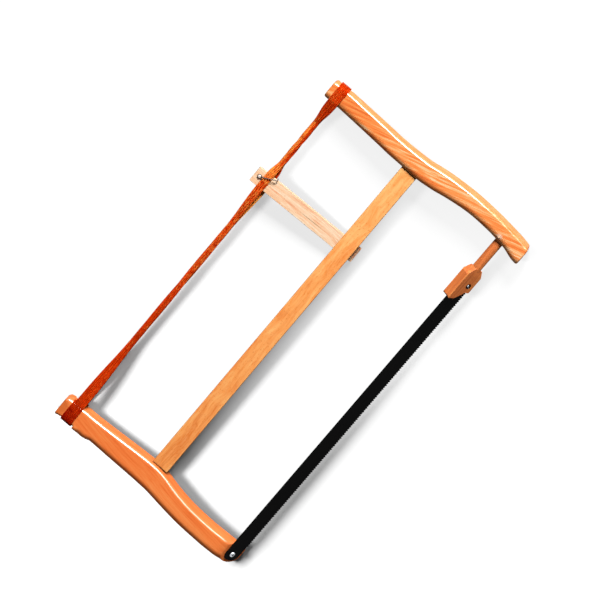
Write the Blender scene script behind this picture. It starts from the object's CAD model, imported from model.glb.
from math import atan2, copysign, cos, pi, prod, radians, sin, sqrt

import bmesh
import bpy
from mathutils import Matrix, Vector


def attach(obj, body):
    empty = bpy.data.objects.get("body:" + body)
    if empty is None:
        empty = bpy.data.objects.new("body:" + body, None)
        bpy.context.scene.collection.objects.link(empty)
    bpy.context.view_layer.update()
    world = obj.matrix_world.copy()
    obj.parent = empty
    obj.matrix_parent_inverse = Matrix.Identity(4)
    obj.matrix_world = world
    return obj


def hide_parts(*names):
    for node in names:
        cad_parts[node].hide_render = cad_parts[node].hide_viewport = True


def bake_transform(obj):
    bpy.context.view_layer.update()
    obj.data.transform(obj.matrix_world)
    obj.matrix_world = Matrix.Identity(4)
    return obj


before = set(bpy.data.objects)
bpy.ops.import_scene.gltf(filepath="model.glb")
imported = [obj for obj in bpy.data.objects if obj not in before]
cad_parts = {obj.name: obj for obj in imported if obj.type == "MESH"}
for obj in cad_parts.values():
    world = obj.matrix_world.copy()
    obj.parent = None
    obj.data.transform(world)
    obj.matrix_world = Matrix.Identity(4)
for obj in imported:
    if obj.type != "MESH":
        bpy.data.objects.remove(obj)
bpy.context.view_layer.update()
print("frame loaded with", len(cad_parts), "nodes")

mm = 0.001
sharpAngle = 35    # degrees past which an edge is shaded sharp
mergeStep = 1e-4    # millimetres within which doubles are merged

# lines of the saw, in millimetres, as in the part
saw = {"end": 267.0, "head": 149.0, "cord": 131.5, "upperHead": 145.0, "bar": 12.8, "blade": -119.5,
       "lowerEnd": -127.7, "foot": -149.0, "armRound": 4.0, "endRound": 2.0, "front": 30.0,
       "bladeZ": 15.0, "bladeTilt": 50.0}


def addObject(name, data):
    made = bpy.data.objects.new(name, data)
    bpy.context.scene.collection.objects.link(made)
    return made


# camera, as the photo was taken
photoView = {"aim": (0.0061, 0.0025, 0.012), "aimPixel": (291.6, 325.0), "side": 14.53, "tilt": 0.6,
             "roll": 49.73, "distance": 4.995, "pixelsPerMetre": 859.7, "frame": 600.0, "sensor": 36,
             "clipEnd": 50}


def placeCamera(view):
    side, tilt, roll = (radians(view[k]) for k in ("side", "tilt", "roll"))
    back = Vector((sin(side) * cos(tilt), sin(tilt), cos(side) * cos(tilt)))
    along = (Vector((1, 0, 0)) - back * back.x).normalized()
    across = back.cross(along)
    right = along * cos(roll) - across * sin(roll)
    up = along * sin(roll) + across * cos(roll)
    half = view["frame"] / 2
    shiftRight = (half - view["aimPixel"][0]) / view["pixelsPerMetre"]
    shiftUp = (view["aimPixel"][1] - half) / view["pixelsPerMetre"]
    place = Vector(view["aim"]) + right * shiftRight + up * shiftUp + back * view["distance"]
    data = bpy.data.cameras.new("photoCamera")
    data.sensor_width = view["sensor"]
    data.lens = view["pixelsPerMetre"] * view["distance"] / view["frame"] * view["sensor"]
    data.clip_end = view["clipEnd"]
    camera = addObject("photoCamera", data)
    turn = Matrix((right, up, back)).transposed().to_4x4()
    camera.matrix_world = Matrix.Translation(place) @ turn
    bpy.context.scene.camera = camera


placeCamera(photoView)
print("camera placed")


# node helpers: nodes stand in columns, in the order they are made
nodeLayout = {"rows": 5, "across": 220, "down": -280}


def feed(tree, socket, value):
    # links a socket to another, or sets it to a number, a vector or a colour
    if isinstance(value, bpy.types.NodeSocket):
        tree.links.new(value, socket)
    elif socket.type == "RGBA":
        socket.default_value = (*value, 1)
    else:
        socket.default_value = value


def addNode(tree, kind, inputs=(), **settings):
    column, row = divmod(len(tree.nodes), nodeLayout["rows"])
    node = tree.nodes.new(kind)
    node.location = (column * nodeLayout["across"], row * nodeLayout["down"])
    for key, value in settings.items():
        setattr(node, key, value)
    for label, value in dict(inputs).items():
        feed(tree, node.inputs[label], value)
    return node


def calc(tree, operation, *values, clamp=False):
    inputs = dict(enumerate(values))
    return addNode(tree, "ShaderNodeMath", inputs, operation=operation, use_clamp=clamp).outputs[0]


def vectorMath(tree, operation, inputs):
    return addNode(tree, "ShaderNodeVectorMath", inputs, operation=operation).outputs


def axes(tree, vector):
    return addNode(tree, "ShaderNodeSeparateXYZ", {0: vector}).outputs


def mapRange(tree, value, toMin, toMax, fromMin=0.0, fromMax=1.0, **settings):
    inputs = {"Value": value, "From Min": fromMin, "From Max": fromMax, "To Min": toMin, "To Max": toMax}
    return addNode(tree, "ShaderNodeMapRange", inputs, **settings).outputs[0]


def mixColour(tree, factor, a, b):
    return addNode(tree, "ShaderNodeMix", {0: factor, 6: a, 7: b}, data_type="RGBA").outputs[2]


def ramp(tree, value, stops):
    node = addNode(tree, "ShaderNodeValToRGB", {0: value})
    elements = node.color_ramp.elements
    while len(elements) < len(stops):
        elements.new(0.5)
    for element, (place, colour) in zip(elements, stops):
        element.position = place
        element.color = (*colour, 1) if isinstance(colour, tuple) else (colour, colour, colour, 1)
    return node.outputs[0]


def stretchedNoise(tree, vector, scale, detail, roughness=0.5):
    mapping = addNode(tree, "ShaderNodeMapping", {"Vector": vector, "Scale": scale})
    inputs = {"Vector": mapping.outputs[0], "Scale": 1, "Detail": detail, "Roughness": roughness}
    return addNode(tree, "ShaderNodeTexNoise", inputs).outputs["Fac"]


def bumped(tree, height, strength, depth):
    inputs = {"Height": height, "Strength": strength, "Distance": depth}
    return addNode(tree, "ShaderNodeBump", inputs).outputs[0]


def hexColour(text):
    def linear(c):
        return c / 12.92 if c <= 0.04045 else ((c + 0.055) / 1.055) ** 2.4
    return tuple(linear(int(text[k:k + 2], 16) / 255) for k in (0, 2, 4))


def newMaterial(name):
    material = bpy.data.materials.new(name)
    material.use_nodes = True
    material.node_tree.nodes.clear()
    return material, material.node_tree


def addShader(tree, inputs):
    shader = addNode(tree, "ShaderNodeBsdfPrincipled", inputs)
    addNode(tree, "ShaderNodeOutputMaterial", {0: shader.outputs[0]})


# wood figure: broad bands, fibres and short ray flecks along the group's Y axis
# each noise has its scale, detail and roughness
figureLook = {"swayScale": 9, "sway": 0.012, "broad": ((190, 7, 150), 3, 0.6), "broadShare": 0.48,
              "narrow": ((560, 17, 470), 4, 0.6), "narrowShare": 0.52, "fibre": ((2400, 45, 2400), 3, 0.7),
              "fleck": ((1500, 240, 1500), 1, 0.6), "fibreHeight": 0.5, "fleckDepth": 0.6}


def makeWoodFigure(look):
    tree = bpy.data.node_groups.new("woodFigure", "ShaderNodeTree")
    for label, kind in (("Vector", "Vector"), ("Fibre Share", "Float"), ("Fleck Share", "Float")):
        tree.interface.new_socket(label, in_out="INPUT", socket_type="NodeSocket" + kind)
    for label in ("Band", "Fibre", "Fibre Mask", "Fleck Mask", "Height"):
        tree.interface.new_socket(label, in_out="OUTPUT", socket_type="NodeSocketFloat")
    given = addNode(tree, "NodeGroupInput").outputs
    vector = given["Vector"]
    sway = addNode(tree, "ShaderNodeTexNoise", {"Vector": vector, "Scale": look["swayScale"]})
    offset = vectorMath(tree, "SCALE", {0: sway.outputs["Color"], "Scale": look["sway"]})[0]
    swayed = vectorMath(tree, "ADD", {0: vector, 1: offset})[0]
    broad = stretchedNoise(tree, swayed, *look["broad"])
    narrow = stretchedNoise(tree, swayed, *look["narrow"])
    fibre = stretchedNoise(tree, swayed, *look["fibre"])
    fleck = stretchedNoise(tree, swayed, *look["fleck"])
    narrow = calc(tree, "MULTIPLY", narrow, look["narrowShare"])
    both = calc(tree, "MULTIPLY_ADD", broad, look["broadShare"], narrow)
    band = ramp(tree, both, [(0.37, 0.0), (0.63, 1.0)])
    fibres = ramp(tree, fibre, [(0.3, 0.0), (0.7, 1.0)])
    flecks = ramp(tree, fleck, [(0.62, 0.0), (0.7, 1.0)])
    raised = calc(tree, "MULTIPLY", fibres, look["fibreHeight"])
    sunk = calc(tree, "MULTIPLY", flecks, look["fleckDepth"])
    addNode(tree, "NodeGroupOutput", {
        "Band": band, "Fibre": fibres, "Height": calc(tree, "SUBTRACT", raised, sunk),
        "Fibre Mask": calc(tree, "MULTIPLY", fibres, given["Fibre Share"]),
        "Fleck Mask": calc(tree, "MULTIPLY", flecks, given["Fleck Share"])})
    return tree


woodFigure = makeWoodFigure(figureLook)


# finishes
def stained(tree, coords, colour, stains):
    # patches of another colour, each round one point of the piece
    for stain in stains:
        inputs = {"Vector": coords, "Location": stain["at"], "Scale": stain.get("size", (1, 1, 1))}
        around = addNode(tree, "ShaderNodeMapping", inputs, vector_type="TEXTURE")
        away = vectorMath(tree, "LENGTH", {0: around.outputs[0]})["Value"]
        share = mapRange(tree, away, 0, 1, *stain["radii"])
        colour = mixColour(tree, share, hexColour(stain["colour"]), colour)
    return colour


def polishedEdges(tree, coords, look):
    # the front edge on the outer side is polished by hand, less towards the worn end
    facing = axes(tree, coords["Normal"])
    slant = calc(tree, "MULTIPLY", facing["X"], facing["Z"])
    edge = mapRange(tree, slant, 0, 1, *look["polish"])
    low, high, share = look.get("worn", (-1, 1, 1))
    along = axes(tree, coords["Object"])["Y"]
    left = mapRange(tree, along, share * look["coat"], look["coat"], low, high)
    return calc(tree, "MULTIPLY", left, edge)


woodLook = {"bumpDepth": 0.0003, "sideFrom": (0.75, 0.95), "coatRoughness": 0.28, "coatIor": 2.2}
bounceGrey = (0.12, 0.12, 0.12)    # what bounced rays see, so that no orange light falls on the floor


def woodMaterial(name, look):
    material, tree = newMaterial(name)
    coords = addNode(tree, "ShaderNodeTexCoord").outputs
    turn = tuple(radians(angle) for angle in look["turn"])
    mapping = addNode(tree, "ShaderNodeMapping", {
        "Vector": coords["Object"], "Location": look.get("shift", (0, 0, 0)), "Rotation": turn,
        "Scale": look.get("scale", (1, 1, 1))})
    (fibre, fibreColour), (fleck, fleckColour) = look["fibre"], look["fleck"]
    shares = {"Vector": mapping.outputs[0], "Fibre Share": fibre, "Fleck Share": fleck}
    figure = addNode(tree, "ShaderNodeGroup", shares, node_tree=woodFigure).outputs
    band = figure["Band"]
    if "grade" in look:    # the wood gets paler or deeper along the piece
        grade = look["grade"]
        place = axes(tree, coords["Object"])[grade["axis"]]
        along = mapRange(tree, place, 0, 1, *grade["span"])
        change = calc(tree, "SUBTRACT", ramp(tree, along, grade["stops"]), 0.5)
        band = calc(tree, "ADD", band, change)
    if "quiet" in look:    # the sides show less of the slanting figure than the front
        level, most = look["quiet"]
        facing = calc(tree, "ABSOLUTE", axes(tree, coords["Normal"])["X"])
        side = mapRange(tree, facing, 0, most, *woodLook["sideFrom"])
        change = calc(tree, "MULTIPLY", calc(tree, "SUBTRACT", level, band), side)
        band = calc(tree, "ADD", band, change)
    colour = ramp(tree, band, [(place, hexColour(text)) for place, text in look["bands"]])
    colour = mixColour(tree, figure["Fibre Mask"], colour, hexColour(fibreColour))
    colour = mixColour(tree, figure["Fleck Mask"], colour, hexColour(fleckColour))
    colour = stained(tree, coords["Object"], colour, look.get("stains", []))
    bounced = addNode(tree, "ShaderNodeLightPath").outputs["Is Diffuse Ray"]
    inputs = {"Base Color": mixColour(tree, bounced, colour, bounceGrey),
              "Roughness": mapRange(tree, figure["Fibre"], *look["rough"]),
              "Normal": bumped(tree, figure["Height"], look["bump"], woodLook["bumpDepth"]),
              "Specular IOR Level": look["gloss"], "Coat Roughness": woodLook["coatRoughness"],
              "Coat IOR": woodLook["coatIor"]}
    if "coat" in look:
        inputs["Coat Weight"] = polishedEdges(tree, coords, look)
    addShader(tree, inputs)
    return material


def metalMaterial(name, look):
    material, tree = newMaterial(name)
    coords = addNode(tree, "ShaderNodeTexCoord").outputs["Object"]
    noise = stretchedNoise(tree, coords, look["scale"], look["detail"])
    colour = ramp(tree, noise, [(0.3, hexColour(look["dark"])), (0.7, hexColour(look["pale"]))])
    addShader(tree, {"Base Color": stained(tree, coords, colour, look.get("stains", [])),
                     "Roughness": mapRange(tree, noise, *look["rough"]),
                     "Normal": bumped(tree, noise, look["bump"], look["bumpDepth"]),
                     "Metallic": look["metal"], "Specular IOR Level": look["gloss"]})
    return material


def cordMaterial(name, look):
    material, tree = newMaterial(name)
    uv = axes(tree, addNode(tree, "ShaderNodeUVMap", uv_map="along").outputs[0])

    def plait(sign):
        lay = calc(tree, "MULTIPLY", uv["Y"], look["plaits"] * sign)
        whole = calc(tree, "ADD", lay, uv["X"])
        return calc(tree, "SINE", calc(tree, "MULTIPLY", whole, 2 * pi * look["yarns"]))

    over = calc(tree, "MAXIMUM", plait(1), plait(-1))
    yarn = mapRange(tree, over, 0, 1, look["yarnFrom"])
    amount = addNode(tree, "ShaderNodeAttribute", attribute_name="fleck").outputs["Fac"]
    coords = addNode(tree, "ShaderNodeTexCoord").outputs["Object"]
    spots = stretchedNoise(tree, coords, *look["spots"])
    spots = calc(tree, "MULTIPLY", spots, look["spotShare"])
    spotted = ramp(tree, calc(tree, "ADD", spots, amount), look["spotStops"])
    shade = addNode(tree, "ShaderNodeTexNoise", {"Vector": coords, "Scale": look["shadeScale"]})
    redness = calc(tree, "ADD", shade.outputs["Fac"], amount, clamp=True)
    colour = mixColour(tree, redness, hexColour(look["deep"]), hexColour(look["bright"]))
    colour = mixColour(tree, yarn, hexColour(look["gap"]), colour)
    colour = mixColour(tree, spotted, colour, hexColour(look["fleck"]))
    addShader(tree, {"Base Color": colour, "Roughness": mapRange(tree, yarn, *look["rough"]),
                     "Normal": bumped(tree, yarn, look["bump"], look["bumpDepth"]), "Specular IOR Level": 0})
    return material


# fibre and fleck: a share and a colour; worn: a span along Y and the share of coat left at its start
# quiet: the level that the figure goes to on the sides, and how far it goes there
polished = {"rough": (0.35, 0.45), "gloss": 0.02, "polish": (0.15, 0.33)}
steel = {"scale": (900, 900, 900), "detail": 5, "rough": (0.2, 0.34), "bump": 0.1, "bumpDepth": 0.0001,
         "metal": 1.0, "gloss": 0.5}
finishes = {
    "lowerArm": woodMaterial("lowerArmBeech", {
        **polished, "turn": (0, 0, 8), "bands": [(0.0, "f26c2e"), (0.45, "fb7e3c"), (1.0, "ff9450")],
        "fibre": (0.3, "ff9c54"), "fleck": (0.2, "d85e1e"), "bump": 0.06, "coat": 0.56,
        "worn": (-0.03, 0.06, 0.4),
        "stains": [{"at": (-0.246, 0.15, 0.026), "radii": (0.0085, 0.0125), "colour": "de7034"}]}),
    "upperArm": woodMaterial("upperArmBeech", {
        **polished, "turn": (0, 0, -17), "shift": (0.03, 0.11, 0),
        "bands": [(0.0, "d65a22"), (0.35, "ee7634"), (0.6, "fa8e48"), (0.85, "ffb578"), (1.0, "ffd2a4")],
        "fibre": (0.3, "ffa862"), "fleck": (0.12, "d05818"), "bump": 0.06, "coat": 0.65,
        "worn": (-0.09, -0.055, 0.15), "quiet": (0.68, 0.72),
        "grade": {"axis": "Y", "span": (-0.15, 0.1),
                  "stops": [(0.0, 0.64), (0.5, 0.65), (0.62, 0.52), (0.68, 0.48), (0.85, 0.5), (1.0, 0.58)]},
        "stains": [{"at": (0.249, -0.11306, 0.03), "radii": (0.0015, 0.0048), "colour": "ffd6ba"}]}),
    "bar": woodMaterial("barBeech", {
        "turn": (0, 0, 90), "scale": (1.5, 0.5, 0.5), "rough": (0.4, 0.55), "bump": 0.15, "gloss": 0.03,
        "bands": [(0.0, "ea7628"), (0.5, "fb9a4c"), (1.0, "ffba70")],
        "fibre": (0.45, "ffc47e"), "fleck": (0.5, "dc6c28"),
        "grade": {"axis": "X", "span": (-0.23, 0.24), "stops": [(0.0, 0.28), (1.0, 0.74)]}}),
    "toggle": woodMaterial("toggleWood", {
        "turn": (0, 0, 0), "shift": (0.013, 0.02, 0), "scale": (1.6, 1.0, 1.6), "rough": (0.5, 0.65),
        "bump": 0.2, "gloss": 0.03, "bands": [(0.0, "ee9870"), (0.4, "f8c498"), (1.0, "ffe6ca")],
        "fibre": (0.35, "fad6b0"), "fleck": (0.4, "d8875a"),
        "grade": {"axis": "Y", "span": (-0.004, 0.012), "stops": [(0.0, 0.16), (1.0, 0.5)]},
        "stains": [{"at": (0.1165, 0.0625, 0.0135), "size": (0.00035, 0.0205, 0.02), "radii": (0.5, 1.0),
                    "colour": "8a5636"}]}),
    "knob": woodMaterial("knobBeech", {
        **polished, "turn": (0, 0, 90), "bands": [(0.0, "ba5626"), (0.5, "dc7036"), (1.0, "f0904c")],
        "fibre": (0.35, "f4a868"), "fleck": (0.4, "a34a1c"), "bump": 0.15, "coat": 0.2,
        "stains": [{"at": (0.1786, -0.12364, 0.01847), "radii": (0.0033, 0.0042), "colour": "1e0a04"}]}),
    "dowel": woodMaterial("dowelWood", {
        "turn": (90, 0, 0), "rough": (0.45, 0.6), "bump": 0.2, "gloss": 0.1,
        "bands": [(0.0, "f0b890"), (1.0, "f8d0ac")], "fibre": (0.3, "e8a878"), "fleck": (0.4, "d0905c")}),
    "blade": metalMaterial("blackBlade", {
        **steel, "scale": (30, 500, 500), "dark": "010101", "pale": "050505", "rough": (0.5, 0.62),
        "bump": 0.12, "metal": 0.0, "gloss": 0.02}),
    "pin": metalMaterial("pinSteel", {**steel, "dark": "5c5e62", "pale": "9a9da2"}),
    "screw": metalMaterial("screwSteel", {
        **steel, "dark": "a9adb2", "pale": "d6d9dd",
        "stains": [{"at": (-0.2527, -0.12037, 0.01886), "radii": (0.0011, 0.0019), "colour": "1c1c20"}]}),
    "nail": metalMaterial("nailSteel", {
        **steel, "dark": "b8a89c", "pale": "dccabc", "rough": (0.3, 0.45), "metal": 0.3, "gloss": 0.3}),
    "wire": metalMaterial("darkWire", {
        **steel, "scale": (500, 500, 500), "dark": "2c2a28", "pale": "4a4744", "bump": 0.15}),
    "cord": cordMaterial("braidedCord", {
        "plaits": 260, "yarns": 4, "yarnFrom": -0.6, "deep": "a01200", "bright": "ff5612", "gap": "bc1a00",
        "fleck": "ffa848", "spots": ((210, 560, 560), 2), "spotShare": 0.9,
        "spotStops": [(0.55, 0.0), (1.0, 1.0)], "shadeScale": 140, "rough": (0.75, 0.5), "bump": 0.4,
        "bumpDepth": 0.00035}),
}
print("finishes made:", len(finishes))


# piece helpers
def shadeMesh(mesh, sharp):
    mesh.shade_smooth()
    mesh.set_sharp_from_angle(angle=radians(sharp))


def addPiece(name, bm, finish, node, sharp=sharpAngle, body=None):
    bm.normal_update()
    mesh = bpy.data.meshes.new(name)
    bm.to_mesh(mesh)
    bm.free()
    mesh.transform(Matrix.Scale(mm, 4))
    shadeMesh(mesh, sharp)
    mesh.materials.append(finishes[finish])
    piece = addObject(name, mesh)
    if body:
        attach(piece, body)
    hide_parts(node)
    return piece


def evenNormals(piece):
    weighted = piece.modifiers.new("evenNormals", "WEIGHTED_NORMAL")
    weighted.keep_sharp = True
    weighted.weight = 80


def wrappedGrid(bm, around, along, place):
    # a grid rolled into a tube: place(u, v) gives the point at share u round it and v along it
    made = bmesh.ops.create_grid(bm, x_segments=around, y_segments=along, size=0.5)["verts"]
    shares = {vert: (vert.co.x + 0.5, vert.co.y + 0.5) for vert in made}
    for vert, (u, v) in shares.items():
        vert.co = place(u if u < 0.9999 else 0.0, v)
    faces = {face for vert in made for face in vert.link_faces}
    return made, faces, shares


def mergeVerts(bm, step=mergeStep):
    bmesh.ops.remove_doubles(bm, verts=bm.verts, dist=step)


def faceOut(bm):
    bmesh.ops.recalc_face_normals(bm, faces=bm.faces)


def closeEnds(bm):
    openEdges = [edge for edge in bm.edges if len(edge.link_faces) == 1]
    bmesh.ops.holes_fill(bm, edges=openEdges, sides=0)
    faceOut(bm)


def easeEdges(bm, edges, offset, segments=3):
    bmesh.ops.bevel(bm, geom=edges, offset=offset, segments=segments, profile=0.5, affect="EDGES",
                    material=-1)


def boxMesh(low, high):
    bm = bmesh.new()
    size = Vector(high) - Vector(low)
    middle = (Vector(high) + Vector(low)) / 2
    bmesh.ops.create_cube(bm, size=1, matrix=Matrix.Translation(middle) @ Matrix.Diagonal((*size, 1)))
    return bm


def smoothCurve(points, place):
    last = len(points) - 1
    bay = 0
    while bay < last - 1 and place > points[bay + 1][0]:
        bay += 1

    def slope(k):
        a, b = max(k - 1, 0), min(k + 1, last)
        return (points[b][1] - points[a][1]) / (points[b][0] - points[a][0])

    width = points[bay + 1][0] - points[bay][0]
    t = (place - points[bay][0]) / width
    return ((2 * t ** 3 - 3 * t ** 2 + 1) * points[bay][1] + (t ** 3 - 2 * t ** 2 + t) * width * slope(bay)
            + (3 * t ** 2 - 2 * t ** 3) * points[bay + 1][1] + (t ** 3 - t ** 2) * width * slope(bay + 1))


def ease(t):
    t = min(max(t, 0.0), 1.0)
    return t * t * (3 - 2 * t)


def rise(value, start, run):
    # 0 at the start and 1 past the run, which may be negative
    return ease((value - start) / run)


def drawIn(d, r):
    # how far a round of radius r draws the outline in, at a distance d from its end
    return 0.0 if d >= r else r - sqrt(r * r - (r - max(d, 0.0)) ** 2)


# arms: a rounded section carried along Y through the same stations as the part's
# rounds: front right, front left, back left and back right edge
bar, cordY, bladeY = saw["bar"], saw["cord"], saw["blade"]
bladeTurn = Matrix.Rotation(radians(saw["bladeTilt"]), 4, "X")
bladeFrame = Matrix.Translation((0, bladeY, saw["bladeZ"])) @ bladeTurn
armFront = [(saw["foot"], 30), (bladeY, 30), (bar - 55, 30), (bar, 27), (cordY - 14, 25), (cordY, 25),
            (saw["head"], 25)]
lowerArm = {
    "low": saw["lowerEnd"], "high": saw["head"], "corner": 11.0, "rounds": (4.5, 4.5, 4.0, 4.0),
    "bend": {"from": -99.0, "run": 7.0, "drop": 1.6, "most": 4.0}, "slopeDrop": 0.75, "slopeEase": 0.5,
    "edge": [(saw["lowerEnd"], 1.2), (bladeY + 20, 0.4), (bar - 92, 0), (bar - 61, 1.5), (bar - 30, 5.4),
             (bar, 9), (bar + 60, 9), (cordY - 9, 9.3), (cordY + 9, 9.3), (saw["head"], 7.6)],
    "width": [(saw["lowerEnd"], 26.4), (bladeY + 20, 26.6), (bar - 40, 27), (bar - 12, 29.4), (bar + 4, 30),
              (bar + 50, 28.3), (cordY - 27, 26.2), (saw["head"], 26.2)],
    "swell": [(bar - 80, 0), (bar - 55, 0.6), (bar - 30, 1.5), (bar, 2.0), (bar + 30, 1.7), (bar + 60, 1.1),
              (cordY - 40, 0.9), (cordY - 35, 1.0), (cordY - 31, 2.5), (cordY - 25, 3.8), (cordY - 17, 3.5),
              (cordY - 12, 2.9), (cordY - 9.4, 2.6)]}
upperArm = {
    "low": saw["foot"], "high": saw["upperHead"], "rounds": (3.0, 9.0, 4.0, 4.0),
    "edge": [(saw["foot"], 8.1), (bladeY - 15, 5.3), (bladeY, 3.5), (bladeY + 20, 1.5), (bar - 78, 0),
             (bar - 51, 1), (bar - 30, 3), (bar - 10, 6), (bar + 28, 7.1), (bar + 50, 6.1),
             (cordY - 9, 3.9), (cordY + 9, 3.9), (saw["upperHead"], 3.5)],
    "width": [(saw["foot"], 23.6), (bladeY - 20, 24.3), (bladeY - 5, 21.8), (bladeY + 15, 20.9),
              (bar - 86, 21.2), (bar - 51, 23.9), (bar - 30, 25.8), (bar + 10, 23.6), (bar + 50, 23.1),
              (saw["upperHead"], 22.6)]}
armSeat = {"half": 9.3, "deep": 2.0, "side": 0.25, "rim": 0.3, "inner": 3.0}
armSkin = {"nearEnd": (0, 0.08, 0.25, 0.5, 0.85, 1.3, 1.9, 2.6, 3.4, 4.2, 5.5, 7.2, 9.2, 11.5, 14),
           "plainFrom": 16.5, "plainStop": 1.0, "step": 2.5, "headFrom": 0.5, "cornerSteps": 8,
           "leftRound": 9.0, "leftStop": 11.0, "leftRun": 9.0, "leastFlat": 0.1}


def armLevels(low, high):
    near, rim, inner = armSkin["nearEnd"], armSeat["rim"], armSeat["inner"]
    seatLow, seatHigh = cordY - armSeat["half"], cordY + armSeat["half"]
    start, stop = low + armSkin["plainFrom"], seatLow - armSkin["plainStop"]
    steps = round((stop - start) / armSkin["step"])
    levels = [low + e for e in near] + [start + k * (stop - start) / steps for k in range(steps + 1)]
    levels += [seatLow - rim, seatLow, seatLow + inner, cordY - inner, cordY, cordY + inner,
               seatHigh - inner, seatHigh, seatHigh + rim]
    return levels + [high - e for e in reversed(near) if high - e > seatHigh + armSkin["headFrom"]]


def armSection(arm, y, upper):
    fromLow, fromHigh = y - arm["low"], arm["high"] - y
    fromEnd = min(fromLow, fromHigh)
    inwards = drawIn(fromEnd, saw["endRound"])
    seated = abs(y - cordY) <= armSeat["half"] + 0.01
    offset, width = smoothCurve(arm["edge"], y), smoothCurve(arm["width"], y)
    z0 = inwards + (armSeat["deep"] if seated else 0)
    z1 = min(smoothCurve(armFront, y), saw["front"]) - inwards
    if upper:
        x1 = saw["end"] - offset
        return x1 - width + inwards, x1 - drawIn(fromEnd, saw["armRound"]), z0, z1
    x0 = -saw["end"] + offset
    x1 = x0 + width - drawIn(fromLow, saw["armRound"]) - drawIn(fromHigh, saw["armRound"])
    if arm["swell"][0][0] < y < arm["swell"][-1][0]:    # ends in the hump that stops the cord
        x0 -= smoothCurve(arm["swell"], y)
    x0 += drawIn(fromLow, arm["corner"]) + drawIn(fromHigh, saw["endRound"])
    if seated:    # room for the arm to rock inside the cord
        x0 += armSeat["side"]
        x1 -= armSeat["side"]
    bend = arm["bend"]    # the front bends down a little before the sloped end
    z1 -= min(bend["drop"] * (max(bend["from"] - y, 0) / bend["run"]) ** 2, bend["most"])
    return x0, x1, z0, z1


def armMesh(arm, upper):
    bm = bmesh.new()
    levels = armLevels(arm["low"], arm["high"])
    sections = [armSection(arm, y, upper) for y in levels]
    corner = armSkin["cornerSteps"]
    around = 4 * (corner + 1)

    def place(u, v):
        row = round(v * (len(levels) - 1))
        x0, x1, z0, z1 = sections[row]
        quarter, step = divmod(round(u * around) % around, corner + 1)
        r = arm["rounds"][quarter]
        if quarter == 1:    # the front left edge is rounder below the cord
            below = rise(levels[row], cordY - armSkin["leftStop"], -armSkin["leftRun"])
            r += (armSkin["leftRound"] - r) * below
        r = min(r, (x1 - x0) / 2 - armSkin["leastFlat"], (z1 - z0) / 2 - armSkin["leastFlat"])
        angle = radians(90 * (quarter + step / corner))
        cx = x1 - r if quarter in (0, 3) else x0 + r
        cz = z1 - r if quarter < 2 else z0 + r
        return Vector((cx + r * cos(angle), levels[row], cz + r * sin(angle)))

    wrappedGrid(bm, around, len(levels) - 1, place)
    mergeVerts(bm)
    closeEnds(bm)
    return bm


def slopeEnd(bm, arm):
    # cuts the sloped face that the blade lies on, and eases its rim
    normal = bladeFrame.to_3x3() @ Vector((0, 0, 1))
    cut = bmesh.ops.bisect_plane(bm, geom=bm.verts[:] + bm.edges[:] + bm.faces[:], dist=mergeStep,
                                 plane_co=bladeFrame @ Vector((0, 0, -arm["slopeDrop"])), plane_no=normal,
                                 clear_outer=True)
    rim = {e for e in cut["geom_cut"] if isinstance(e, bmesh.types.BMEdge)}
    bmesh.ops.holes_fill(bm, edges=[e for e in bm.edges if e in rim], sides=0)
    easeEdges(bm, [e for e in bm.edges if e in rim], arm["slopeEase"], 2)
    faceOut(bm)
    return bm


def cutRound(piece, radius, depth, matrix, segments):
    # takes a round hole out of a finished piece
    cutter = bmesh.new()
    bmesh.ops.create_cone(cutter, cap_ends=True, segments=segments, radius1=radius, radius2=radius,
                          depth=depth, matrix=matrix)
    mesh = bpy.data.meshes.new("cutter")
    cutter.to_mesh(mesh)
    cutter.free()
    mesh.transform(Matrix.Scale(mm, 4))
    tool = addObject("cutter", mesh)
    cut = piece.modifiers.new("cut", "BOOLEAN")
    cut.operation, cut.object, cut.solver = "DIFFERENCE", tool, "EXACT"
    bpy.context.view_layer.update()
    made = bpy.data.meshes.new_from_object(piece.evaluated_get(bpy.context.evaluated_depsgraph_get()))
    piece.modifiers.clear()
    piece.data = made
    bpy.data.objects.remove(tool)
    shadeMesh(made, sharpAngle)


lowerMesh = slopeEnd(armMesh(lowerArm, False), lowerArm)
evenNormals(addPiece("lowerArmBeam", lowerMesh, "lowerArm", "lower_arm", body="lower_arm"))

upperMesh = armMesh(upperArm, True)
upper = addPiece("upperArmBeam", upperMesh, "upperArm", "upper_arm", body="upper_arm")
upperBore = {"mouth": 242.473, "depth": 14.7, "outside": 20.0, "radius": 6.1, "y": -117.315, "z": 17.605,
             "sides": 48}
dowelHole = {"at": (248.973, -113.065, 15.0), "radius": 1.45, "length": 40.0, "sides": 24}
boreMiddle = upperBore["mouth"] + (upperBore["depth"] - upperBore["outside"]) / 2
boreTurn = Matrix.Rotation(pi / 2, 4, "Y")
boreFrame = Matrix.Translation((boreMiddle, upperBore["y"], upperBore["z"])) @ boreTurn
cutRound(upper, upperBore["radius"], upperBore["outside"] + upperBore["depth"], boreFrame, upperBore["sides"])
dowelFrame = Matrix.Translation(dowelHole["at"])
cutRound(upper, dowelHole["radius"], dowelHole["length"], dowelFrame, dowelHole["sides"])
evenNormals(upper)
print("arms made")


# stretcher: a bar with eased edges and stub tenons
stretcherBar = {"left": -227.211, "right": 235.528, "width": 21.6, "thick": 12.0, "z": 15.0, "ease": 1.3,
                "shoulder": 2.2, "tenon": 11.0}


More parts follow.
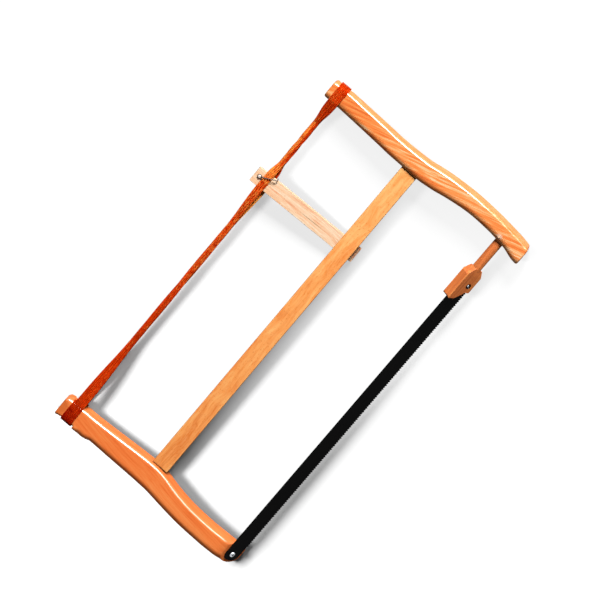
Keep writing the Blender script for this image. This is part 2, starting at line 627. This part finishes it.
def stretcherMesh(s):
    bm = boxMesh((s["left"], bar - s["width"] / 2, s["z"] - s["thick"] / 2),
                 (s["right"], bar + s["width"] / 2, s["z"] + s["thick"] / 2))
    easeEdges(bm, bm.edges[:], s["ease"])
    for face in [f for f in bm.faces if abs(f.normal.x) > 0.99]:
        reach = copysign(s["tenon"], face.normal.x)
        bmesh.ops.inset_individual(bm, faces=[face], thickness=s["shoulder"])
        grown = bmesh.ops.extrude_discrete_faces(bm, faces=[face])["faces"]
        bmesh.ops.translate(bm, verts=list({v for f in grown for v in f.verts}), vec=(reach, 0, 0))
    return bm


barMesh = stretcherMesh(stretcherBar)
evenNormals(addPiece("stretcherBar", barMesh, "bar", "stretcher", body="stretcher"))
print("stretcher made")


# toggle: a flat slat leaning from the cord to behind the stretcher
toggleSlat = {"x": 117.7, "z": 13.5, "lean": 4.029, "width": 20.2, "thick": 5.5, "head": 17.0,
              "length": 151.0, "ease": 0.45}
toggleTurn = Matrix.Rotation(radians(toggleSlat["lean"]), 4, "X")
toggleFrame = Matrix.Translation((toggleSlat["x"], cordY, toggleSlat["z"])) @ toggleTurn


def toggleMesh(t):
    bm = boxMesh((-t["width"] / 2, t["head"] - t["length"], -t["thick"] / 2),
                 (t["width"] / 2, t["head"], t["thick"] / 2))
    easeEdges(bm, bm.edges[:], t["ease"])
    bmesh.ops.transform(bm, matrix=toggleFrame, verts=bm.verts)
    return bm


slatMesh = toggleMesh(toggleSlat)
evenNormals(addPiece("toggleSlat", slatMesh, "toggle", "toggle", body="toggle"))


def sweep(bm, path, radius, sides, uvLayer=None, closed=False):
    # a round tube along a path, carried without twist
    points = [Vector(p) for p in path]
    count = len(points)
    tangents = []
    for k in range(count):
        ahead = points[(k + 1) % count] if closed else points[min(k + 1, count - 1)]
        behind = points[k - 1] if closed or k else points[0]
        tangents.append((ahead - behind).normalized())
    normal = tangents[0].orthogonal().normalized()
    if abs(tangents[0].y) < 0.9:
        normal = (Vector((0, 1, 0)) - tangents[0] * tangents[0].y).normalized()
    normals, run, far = [], [0.0], 0.0
    for k, tangent in enumerate(tangents):
        if k:
            normal = (tangents[k - 1].rotation_difference(tangent) @ normal).normalized()
            far += (points[k] - points[k - 1]).length
            run.append(far)
        normals.append(normal.copy())
    if closed:
        wind = normals[-1].copy()
        wind.rotate(tangents[-1].rotation_difference(tangents[0]))
        miss = atan2(tangents[0].dot(wind.cross(normals[0])), wind.dot(normals[0]))
        for k in range(count):
            normals[k].rotate(Matrix.Rotation(miss * k / count, 3, tangents[k]))
    rows = count if closed else count - 1

    def place(u, v):
        k = round(v * rows) % count if closed else round(v * rows)
        angle = 2 * pi * u
        side = tangents[k].cross(normals[k])
        return points[k] + (normals[k] * cos(angle) + side * sin(angle)) * radius

    made, faces, shares = wrappedGrid(bm, sides, rows, place)
    if uvLayer:
        for face in faces:
            for loop in face.loops:
                u, v = shares[loop.vert]
                loop[uvLayer].uv = (u, run[min(round(v * rows), count - 1)] * mm)
    return made


def roundedPath(corners, radius, steps=6):
    # a path through the corners with its bends rounded
    path = [Vector(corners[0])]
    for before, here, after in zip(corners, corners[1:], corners[2:]):
        here, before, after = Vector(here), Vector(before), Vector(after)
        reach = min(radius, (before - here).length * 0.45, (after - here).length * 0.45)
        a = here + (before - here).normalized() * reach
        b = here + (after - here).normalized() * reach
        for k in range(steps + 1):
            w = k / steps
            path.append(a * (1 - w) ** 2 + here * 2 * w * (1 - w) + b * w * w)
    path.append(Vector(corners[-1]))
    return path


# keeper: an eye on a nail, a bar over the strands and a foot behind the slat's edge
keeper = {"nail": (1.2, 10.8), "eyeZ": 3.75, "eyeRadius": 2.15, "eyePoints": 32, "wire": 0.65, "sides": 12,
          "barShare": 0.97, "bendRadius": 1.1,
          "bends": [(2.186, 8.889, 3.75), (2.588, 8.111, 3.75), (2.588, 8.111, 6.843), (11.1, -8.38, 6.843),
                    (11.1, -8.38, -3.75), (7.1, -8.38, -3.75)]}


def turns(points):
    return [2 * pi * n / points for n in range(points)]


def keeperMesh(k):
    bm = bmesh.new()
    x, y = k["nail"]
    ring = [(x + k["eyeRadius"] * cos(a), y + k["eyeRadius"] * sin(a), k["eyeZ"])
            for a in turns(k["eyePoints"])]
    sweep(bm, ring, k["wire"], k["sides"], closed=True)
    sweep(bm, roundedPath(k["bends"], k["bendRadius"]), k["wire"] * k["barShare"], k["sides"])
    mergeVerts(bm)
    closeEnds(bm)
    bmesh.ops.transform(bm, matrix=toggleFrame, verts=bm.verts)
    return bm


addPiece("keeperWire", keeperMesh(keeper), "wire", "keeper_wire", sharp=60, body="toggle")

keeperNail = {"tip": -1.55, "point": 0.8, "shank": 0.9, "headZ": 4.5, "headRadius": 2.0, "rimEase": 0.15,
              "rim": 0.2, "top": 5.4, "domeSteps": 6, "sides": 32}


def nailMesh(n, at):
    # a half profile of (radius, height) pairs, spun round Z
    profile = [(0, n["tip"]), (n["shank"], n["tip"] + n["point"]), (n["shank"], n["headZ"]),
               (n["headRadius"] - n["rimEase"], n["headZ"])]
    low = n["headZ"] + n["rim"]
    for step in range(n["domeSteps"] + 1):
        angle = pi / 2 * step / n["domeSteps"]
        profile.append((n["headRadius"] * cos(angle), low + (n["top"] - low) * sin(angle)))
    bm = bmesh.new()
    verts = [bm.verts.new((r, 0, z)) for r, z in profile]
    edges = [bm.edges.new(pair) for pair in zip(verts, verts[1:])]
    bmesh.ops.spin(bm, geom=verts + edges, cent=(0, 0, 0), axis=(0, 0, 1), dvec=(0, 0, 0), angle=2 * pi,
                   steps=n["sides"], use_merge=True, use_duplicate=False)
    mergeVerts(bm)
    faceOut(bm)
    bmesh.ops.transform(bm, matrix=toggleFrame @ Matrix.Translation((*at, 0)), verts=bm.verts)
    return bm


nail = nailMesh(keeperNail, keeper["nail"])
addPiece("keeperNail", nail, "nail", "keeper_nail", body="toggle")
print("toggle and keeper made")


# blade: a strip with a tooth in every bay, set to either side in turn
bladeStrip = {"left": -262.0, "right": 188.0, "half": 12.5, "root": -10.5, "thick": 0.8, "firstTooth": -237.4,
              "pitch": 3.0, "teeth": 135, "tip": 0.7, "set": 0.25, "tailRound": 9.0, "noseRound": 4.0,
              "rows": 5, "tailColumns": (0, 0.15, 0.6, 1.4, 2.6, 4.2, 6.2, 9.0, 12.0, 15.0, 18.0, 21.0),
              "plainColumns": (0, 3, 6, 9, 12), "noseColumns": (4.0, 2.4, 1.2, 0.4, 0.0)}


def bladeMesh(b):
    columns = [b["left"] + e for e in b["tailColumns"]]
    kinds = [0] * len(columns)    # the side that a column's tooth is set to
    for tooth in range(b["teeth"]):
        x = b["firstTooth"] + tooth * b["pitch"]
        columns += [x, x + b["tip"] * b["pitch"]]
        kinds += [0, 1 if tooth % 2 == 0 else -1]
    last = b["firstTooth"] + b["teeth"] * b["pitch"]
    columns += [last + e for e in b["plainColumns"]] + [b["right"] - e for e in b["noseColumns"]]
    kinds += [0] * (len(columns) - len(kinds))
    bm = bmesh.new()
    made = bmesh.ops.create_grid(bm, x_segments=len(columns) - 1, y_segments=b["rows"], size=0.5)["verts"]
    for vert in made:
        column = round((vert.co.x + 0.5) * (len(columns) - 1))
        row = vert.co.y + 0.5
        x, kind = columns[column], kinds[column]
        draw = max(drawIn(x - b["left"], b["tailRound"]), drawIn(b["right"] - x, b["noseRound"]))
        low, high = b["root"] + draw, b["half"] - draw
        vert.co = Vector((x, low + (high - low) * row, 0))
        if kind and row < 0.01:
            vert.co.y, vert.co.z = -b["half"], kind * b["set"]
    bmesh.ops.solidify(bm, geom=bm.faces[:], thickness=b["thick"])
    faceOut(bm)
    middle = sum((v.co.z for v in bm.verts), 0.0) / len(bm.verts)
    bmesh.ops.translate(bm, verts=bm.verts, vec=(0, 0, -middle))
    bmesh.ops.transform(bm, matrix=bladeFrame, verts=bm.verts)
    return bm


blade = addPiece("bladeStrip", bladeMesh(bladeStrip), "blade", "blade", sharp=25)
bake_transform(blade)
print("blade made")


# knob and fasteners: merged copies of their nodes with the edges eased
copied = {"merge": 1e-3, "flatDegrees": 1, "sharp": 30, "easedPast": 25, "segments": 3}


def easedCopy(name, node, finish, body, bevel):
    bm = bmesh.new()
    bm.from_mesh(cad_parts[node].data)
    bmesh.ops.scale(bm, vec=(1 / mm, 1 / mm, 1 / mm), verts=bm.verts)
    mergeVerts(bm, copied["merge"])
    flat = radians(copied["flatDegrees"])
    bmesh.ops.dissolve_limit(bm, angle_limit=flat, verts=bm.verts, edges=bm.edges)
    piece = addPiece(name, bm, finish, node, sharp=copied["sharp"], body=body)
    if bevel:
        eased = piece.modifiers.new("easedEdges", "BEVEL")
        eased.width, eased.segments, eased.limit_method = bevel * mm, copied["segments"], "ANGLE"
        eased.angle_limit = radians(copied["easedPast"])
        evenNormals(piece)


easedCopy("knobPaddle", "knob", "knob", "knob", 0.45)
easedCopy("knobPin", "blade_pin", "pin", "knob", 0)
easedCopy("shankDowel", "knob_dowel", "dowel", "upper_arm", 0.15)
easedCopy("bladeScrew", "blade_screw", "screw", "lower_arm", 0.12)
print("knob and fasteners made")


# cord: seven loops round both arm heads, parted by the toggle and twisted half a turn on either side of it
# the pairs are the start and the run of a change, as shares of the way from an arm to the toggle
windlass = {"pitch": 1.9, "loops": 7, "radius": 0.93, "sides": 10, "reach": 12.55, "foldDegrees": 60,
            "foldAtToggle": 45, "toggleReach": 4.47175, "toggleShift": 2.0, "lowerFrom": -235.447,
            "upperFrom": 244.445, "toggleLow": 106.6, "toggleHigh": 128.8, "cornerRadius": 5.05,
            "cornerSteps": 7, "lowX": -253.7, "highX": 259.1, "lowZ": 6.0, "highZ": 21.0, "frontZ": 26.05,
            "rearZ": 0.95, "lowerIn": -231.447, "steps": 60, "merge": 1e-5, "gathered": 0.3,
            "turn": (0.2, 0.72), "refold": (0.86, 0.14), "part": (0.84, 0.16), "shift": (0.8, 0.2),
            "tail": {"in": 1.05, "aside": 4.5, "up": 2.4, "spread": 0.85, "drop": 1.5,
                     "angles": (0, 18, 36, 54, 72)}}
w = windlass
halfBand = (w["loops"] - 1) / 2
bundle = w["pitch"] * (1 + sin(radians(w["foldDegrees"]))) / 2 + 0.01
halfTurn = 180 - toggleSlat["lean"]
axisZ = toggleSlat["z"]


def strandAt(i, front, share, fromX, toX):
    refold = (w["foldAtToggle"] - w["foldDegrees"]) * rise(share, *w["refold"])
    fold = radians(w["foldDegrees"] * ease(share / w["gathered"]) + refold)
    if share < w["gathered"]:
        reach = w["reach"] + (bundle - w["reach"]) * share / w["gathered"]
    else:
        reach = bundle + (w["toggleReach"] - bundle) * rise(share, *w["part"])
    turn = radians(halfTurn * rise(share, *w["turn"]) + (0 if front else 180))
    across = (1 if front else -1) * i * w["pitch"] * cos(fold)
    across += w["toggleShift"] * rise(share, *w["shift"])
    out = reach + (-1 if (i + halfBand) % 2 == 0 else 1) * w["pitch"] * sin(fold) / 2
    return Vector((fromX + share * (toX - fromX), cordY + across * cos(turn) + out * sin(turn),
                   axisZ + out * cos(turn) - across * sin(turn)))


def halfRun(i, front, fromX, toX):
    # from an arm to the middle of the toggle
    path = [strandAt(i, front, n / w["steps"], fromX, toX) for n in range(w["steps"] + 1)]
    return path + [Vector((toggleSlat["x"], path[-1].y, path[-1].z))]


def onCorner(x, z, degrees):
    angle = radians(degrees)
    return x + w["cornerRadius"] * cos(angle), z + w["cornerRadius"] * sin(angle)


def corner(x, z, fromAngle, toAngle):
    steps = w["cornerSteps"]
    return [onCorner(x, z, fromAngle + (toAngle - fromAngle) * n / steps) for n in range(steps + 1)]


aroundLower = corner(w["lowX"], w["lowZ"], 270, 180) + corner(w["lowX"], w["highZ"], 180, 90)
aroundUpper = corner(w["highX"], w["highZ"], 90, 0) + corner(w["highX"], w["lowZ"], 0, -90)


def wrap(way, fromY, toY):
    step = (toY - fromY) / (len(way) + 1)
    return [Vector((x, cordY + fromY + (n + 1) * step, z)) for n, (x, z) in enumerate(way)]


def tail(rear):
    # from the knot to the arm's inner edge, where a loop begins or ends
    t = w["tail"]
    z0, side = (w["lowZ"], -1) if rear else (w["highZ"], 1)
    far = side * (halfBand + 1) * w["pitch"]
    inner = w["lowerIn"] + t["in"]
    path = [Vector((inner, cordY + side * t["aside"], axisZ + side * t["up"])),
            Vector((inner, cordY + far * t["spread"], z0 - side * t["drop"]))]
    for degrees in t["angles"]:
        x, z = onCorner(w["lowerFrom"], z0, side * degrees)
        path.append(Vector((x, cordY + far, z)))
    return path + [Vector((w["lowerFrom"], cordY + far, w["rearZ"] if rear else w["frontZ"]))]


def cordMesh(paths, radius, closed=False):
    bm = bmesh.new()
    uvLayer = bm.loops.layers.uv.new("along")
    fleck = bm.verts.layers.float.new("fleck")
    for path, flecks in paths:
        for vert in sweep(bm, path, radius, w["sides"], uvLayer, closed):
            vert[fleck] = flecks(vert.co)
    mergeVerts(bm, w["merge"])
    return bm


def cordHalf(name, paths):
    piece = addPiece(name, cordMesh(paths, w["radius"]), "cord", "tension_cord", sharp=60)
    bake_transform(piece)


# pale flecks: each zone has its amount, and for every change an axis, a start and a run
lowerFlecks = {"least": 0.03, "middle": (0.13, [("x", -100, 110)]), "front": (0.34, [("x", 10, 60)]),
               "head": (-0.46, [("x", -225, -20)])}
upperFlecks = {"least": 0.02, "share": 0.3, "behind": (1, [("x", 158, -22)]),
               "outer": (1, [("y", cordY - 1.2, 2.4), ("x", 226, -26), ("x", 138, 16)]),
               "rows": (0.4, [("z", 20, 4), ("x", 243, 4), ("x", 257, -3)])}


def zone(co, amount, changes):
    return amount * prod(rise(getattr(co, axis), start, run) for axis, start, run in changes)


def groupShare(co, fromX, toX):
    # 1 in the strands that lie in front at the arm, 0 in those behind, all along the twist
    turn = radians(halfTurn * rise((co.x - fromX) / (toX - fromX), *w["turn"]))
    return rise((co.y - cordY) * sin(turn) + (co.z - axisZ) * cos(turn), -1.0, 2.0)


def leftFlecks(co):
    f = lowerFlecks
    front = groupShare(co, w["lowerFrom"], w["toggleLow"]) * zone(co, *f["front"])
    return f["least"] + zone(co, *f["middle"]) + front + zone(co, *f["head"])


def rightFlecks(co):
    f = upperFlecks
    behind = (1 - groupShare(co, w["upperFrom"], w["toggleHigh"])) * zone(co, *f["behind"])
    return f["least"] + f["share"] * max(behind, zone(co, *f["outer"])) + zone(co, *f["rows"])


indices = [n - halfBand for n in range(w["loops"])]
leftPaths = []
for i in indices + [halfBand + 1]:
    back = tail(True) if i == indices[0] else halfRun(i - 1, False, w["lowerFrom"], w["toggleLow"])[::-1]
    forth = tail(False)[::-1] if i > halfBand else halfRun(i, True, w["lowerFrom"], w["toggleLow"])
    leftPaths.append((back + wrap(aroundLower, (i - 1) * w["pitch"], i * w["pitch"]) + forth, leftFlecks))
rightPaths = []
for i in indices:
    path = halfRun(i, True, w["upperFrom"], w["toggleHigh"])[::-1]
    path += wrap(aroundUpper, i * w["pitch"], i * w["pitch"])
    rightPaths.append((path + halfRun(i, False, w["upperFrom"], w["toggleHigh"]), rightFlecks))
cordHalf("cordLower", leftPaths)
cordHalf("cordUpper", rightPaths)

knotTie = {"x": -229.247, "size": 1.15, "points": 72, "radius": 0.8, "fleck": 0.2}


def knotMesh(k):
    path = [Vector((k["x"] - k["size"] * sin(3 * a),
                    cordY + k["size"] * (sin(a) + 2 * sin(2 * a)),
                    axisZ + k["size"] * (cos(a) - 2 * cos(2 * a)))) for a in turns(k["points"])]
    bm = cordMesh([(path, lambda co: k["fleck"])], k["radius"], closed=True)
    faceOut(bm)
    return bm


addPiece("cordKnot", knotMesh(knotTie), "cord", "cord_knot", sharp=60, body="cord")
print("cord made")


# floor, light and background: the key and the strip light the saw, the floor lamps only lay its shadows
# an edge is an axis, where it has faded out and where it is whole
studio = {
    "floorSize": 8.0, "floorZ": -0.0003, "floorWhite": 1.06, "worldLight": 0.09, "span": (-0.26, 0.24),
    "fade": [(0.0, 1.0), (0.12, 0.71), (0.32, 0.56), (0.52, 0.4), (0.74, 0.26), (0.82, 0.19), (0.96, 0.11)],
    "cleared": [[("Y", 0.128, 0.142), ("X", -0.262, -0.25)], [("Y", -0.152, -0.175), ("X", 0.0, 0.1)],
                [("X", 0.255, 0.27)]],
    "bladeShade": {"edges": [("Y", -0.1515, -0.131), ("Y", -0.114, -0.124), ("X", -0.275, -0.255)],
                   "stops": [(0.0, 0.56), (0.22, 0.57), (0.32, 0.51), (0.42, 0.4), (0.52, 0.23), (0.62, 0.1),
                             (0.72, 0.0)]},
    "lamps": [{"name": "keyLamp", "from": (0.98, 0.2), "rise": 36, "far": 5.0,
               "size": (1.4, 1.4), "watts": 395, "lights": "saw"},
              {"name": "stripLamp", "from": (1, 0), "rise": 40, "far": 3.0,
               "size": (2.6, 1.4), "watts": 300, "lights": "gloss"},
              {"name": "nearFloorLamp", "from": (-0.5, 0.87), "rise": 47, "far": 2.0,
               "size": (0.5, 0.5), "watts": 54, "lights": "floor"},
              {"name": "farFloorLamp", "aim": (0.15, 0.05, 0), "from": (1.0, 0.1), "rise": 29, "far": 0.6,
               "size": (0.2, 0.2), "watts": 8.5, "lights": "floor"}]}


def seenRays(tree):
    light = addNode(tree, "ShaderNodeLightPath").outputs
    first = calc(tree, "ADD", light["Is Camera Ray"], light["Is Glossy Ray"])
    return calc(tree, "ADD", first, light["Is Transmission Ray"], clamp=True)


def lampStand(lamp):
    angle = radians(lamp["rise"])
    flat = Vector((*lamp["from"], 0)).normalized() * cos(angle)
    direction = Vector((flat.x, flat.y, sin(angle)))
    return Vector(lamp.get("aim", (0, 0, 0))) + direction * lamp["far"], direction


def lampShare(tree, coords, lamp):
    # what a floor lamp alone gives at each place on the floor
    place, direction = lampStand(lamp)
    towards = vectorMath(tree, "SUBTRACT", {0: place, 1: coords})[0]
    away = vectorMath(tree, "LENGTH", {0: towards})["Value"]
    facing = vectorMath(tree, "DOT_PRODUCT", {0: towards, 1: direction})["Value"]
    strength = lamp["watts"] * place.z / pi ** 2
    share = calc(tree, "MULTIPLY", facing, strength)
    return calc(tree, "DIVIDE", share, calc(tree, "POWER", away, 4))


def within(tree, parts, edges, value):
    # the value inside the edges, easing to nothing past each of them
    for axis, past, inside in edges:
        edge = mapRange(tree, parts[axis], 0, 1, past, inside, interpolation_type="SMOOTHSTEP")
        value = calc(tree, "MULTIPLY", edge, value)
    return value


def floorMaterial(s):
    material, tree = newMaterial("paleFloor")
    seen = seenRays(tree)
    coords = addNode(tree, "ShaderNodeTexCoord").outputs["Object"]
    parts = axes(tree, coords)
    along = mapRange(tree, parts["X"], 0, 1, *s["span"])
    shown = ramp(tree, along, s["fade"])
    for edges in s["cleared"]:    # no shadow is seen outside the frame
        left = calc(tree, "SUBTRACT", 1.0, within(tree, parts, edges, 1.0))
        shown = calc(tree, "MULTIPLY", shown, left)
    # the thin blade stands edge-on to the floor lamps, so the shade beside it is laid on
    depth = ramp(tree, along, s["bladeShade"]["stops"])
    shade = within(tree, parts, s["bladeShade"]["edges"], depth)
    kept = calc(tree, "SUBTRACT", 1.0, shade)
    tone = mixColour(tree, seen, bounceGrey, calc(tree, "MULTIPLY", shown, kept))
    matte = addNode(tree, "ShaderNodeBsdfDiffuse", {"Color": tone})
    # the glow lifts the lit floor to white, and no further
    lamps = [lamp for lamp in s["lamps"] if lamp["lights"] == "floor"]
    near, far = [lampShare(tree, coords, lamp) for lamp in lamps]
    level = calc(tree, "ADD", calc(tree, "ADD", near, far), s["worldLight"])
    level = calc(tree, "MULTIPLY", level, shown)
    rest = calc(tree, "SUBTRACT", s["floorWhite"], level)
    rest = calc(tree, "MULTIPLY", calc(tree, "MAXIMUM", rest, 0), kept)
    lift = addNode(tree, "ShaderNodeEmission", {"Strength": calc(tree, "MULTIPLY", seen, rest)})
    both = addNode(tree, "ShaderNodeAddShader", {0: matte.outputs[0], 1: lift.outputs[0]})
    addNode(tree, "ShaderNodeOutputMaterial", {0: both.outputs[0]})
    return material


def buildFloor(s):
    bm = bmesh.new()
    bmesh.ops.create_grid(bm, x_segments=1, y_segments=1, size=s["floorSize"] / 2)
    bmesh.ops.translate(bm, verts=bm.verts, vec=(0, 0, s["floorZ"]))
    mesh = bpy.data.meshes.new("floor")
    bm.to_mesh(mesh)
    bm.free()
    mesh.materials.append(floorMaterial(s))
    floor = addObject("floor", mesh)
    return floor


def buildWorld(s):
    world = bpy.data.worlds.new("studioWorld")
    bpy.context.scene.world = world
    world.use_nodes = True
    tree = world.node_tree
    tree.nodes.clear()
    strength = mapRange(tree, seenRays(tree), s["worldLight"], 1.0)
    glow = addNode(tree, "ShaderNodeBackground", {"Color": (1, 1, 1), "Strength": strength})
    addNode(tree, "ShaderNodeOutputWorld", {0: glow.outputs[0]})


def buildLamps(s, floor):
    for lamp in s["lamps"]:
        data = bpy.data.lights.new(lamp["name"], "AREA")
        data.shape, data.energy = "RECTANGLE", lamp["watts"]
        data.size, data.size_y = lamp["size"]
        light = addObject(lamp["name"], data)
        place, direction = lampStand(lamp)
        level = Vector((0, 0, 1)).cross(direction).normalized()
        turn = Matrix((level, direction.cross(level), direction)).transposed().to_4x4()
        light.matrix_world = Matrix.Translation(place) @ turn
        lit = bpy.data.collections.new(lamp["name"] + "Lit")
        lit.objects.link(floor)
        onFloor = lamp["lights"] == "floor"
        lit.collection_objects[0].light_linking.link_state = "INCLUDE" if onFloor else "EXCLUDE"
        light.light_linking.receiver_collection = lit
        light.visible_diffuse = lamp["lights"] != "gloss"


buildWorld(studio)
buildLamps(studio, buildFloor(studio))
bpy.context.scene.view_settings.view_transform = "Standard"
print("studio made")
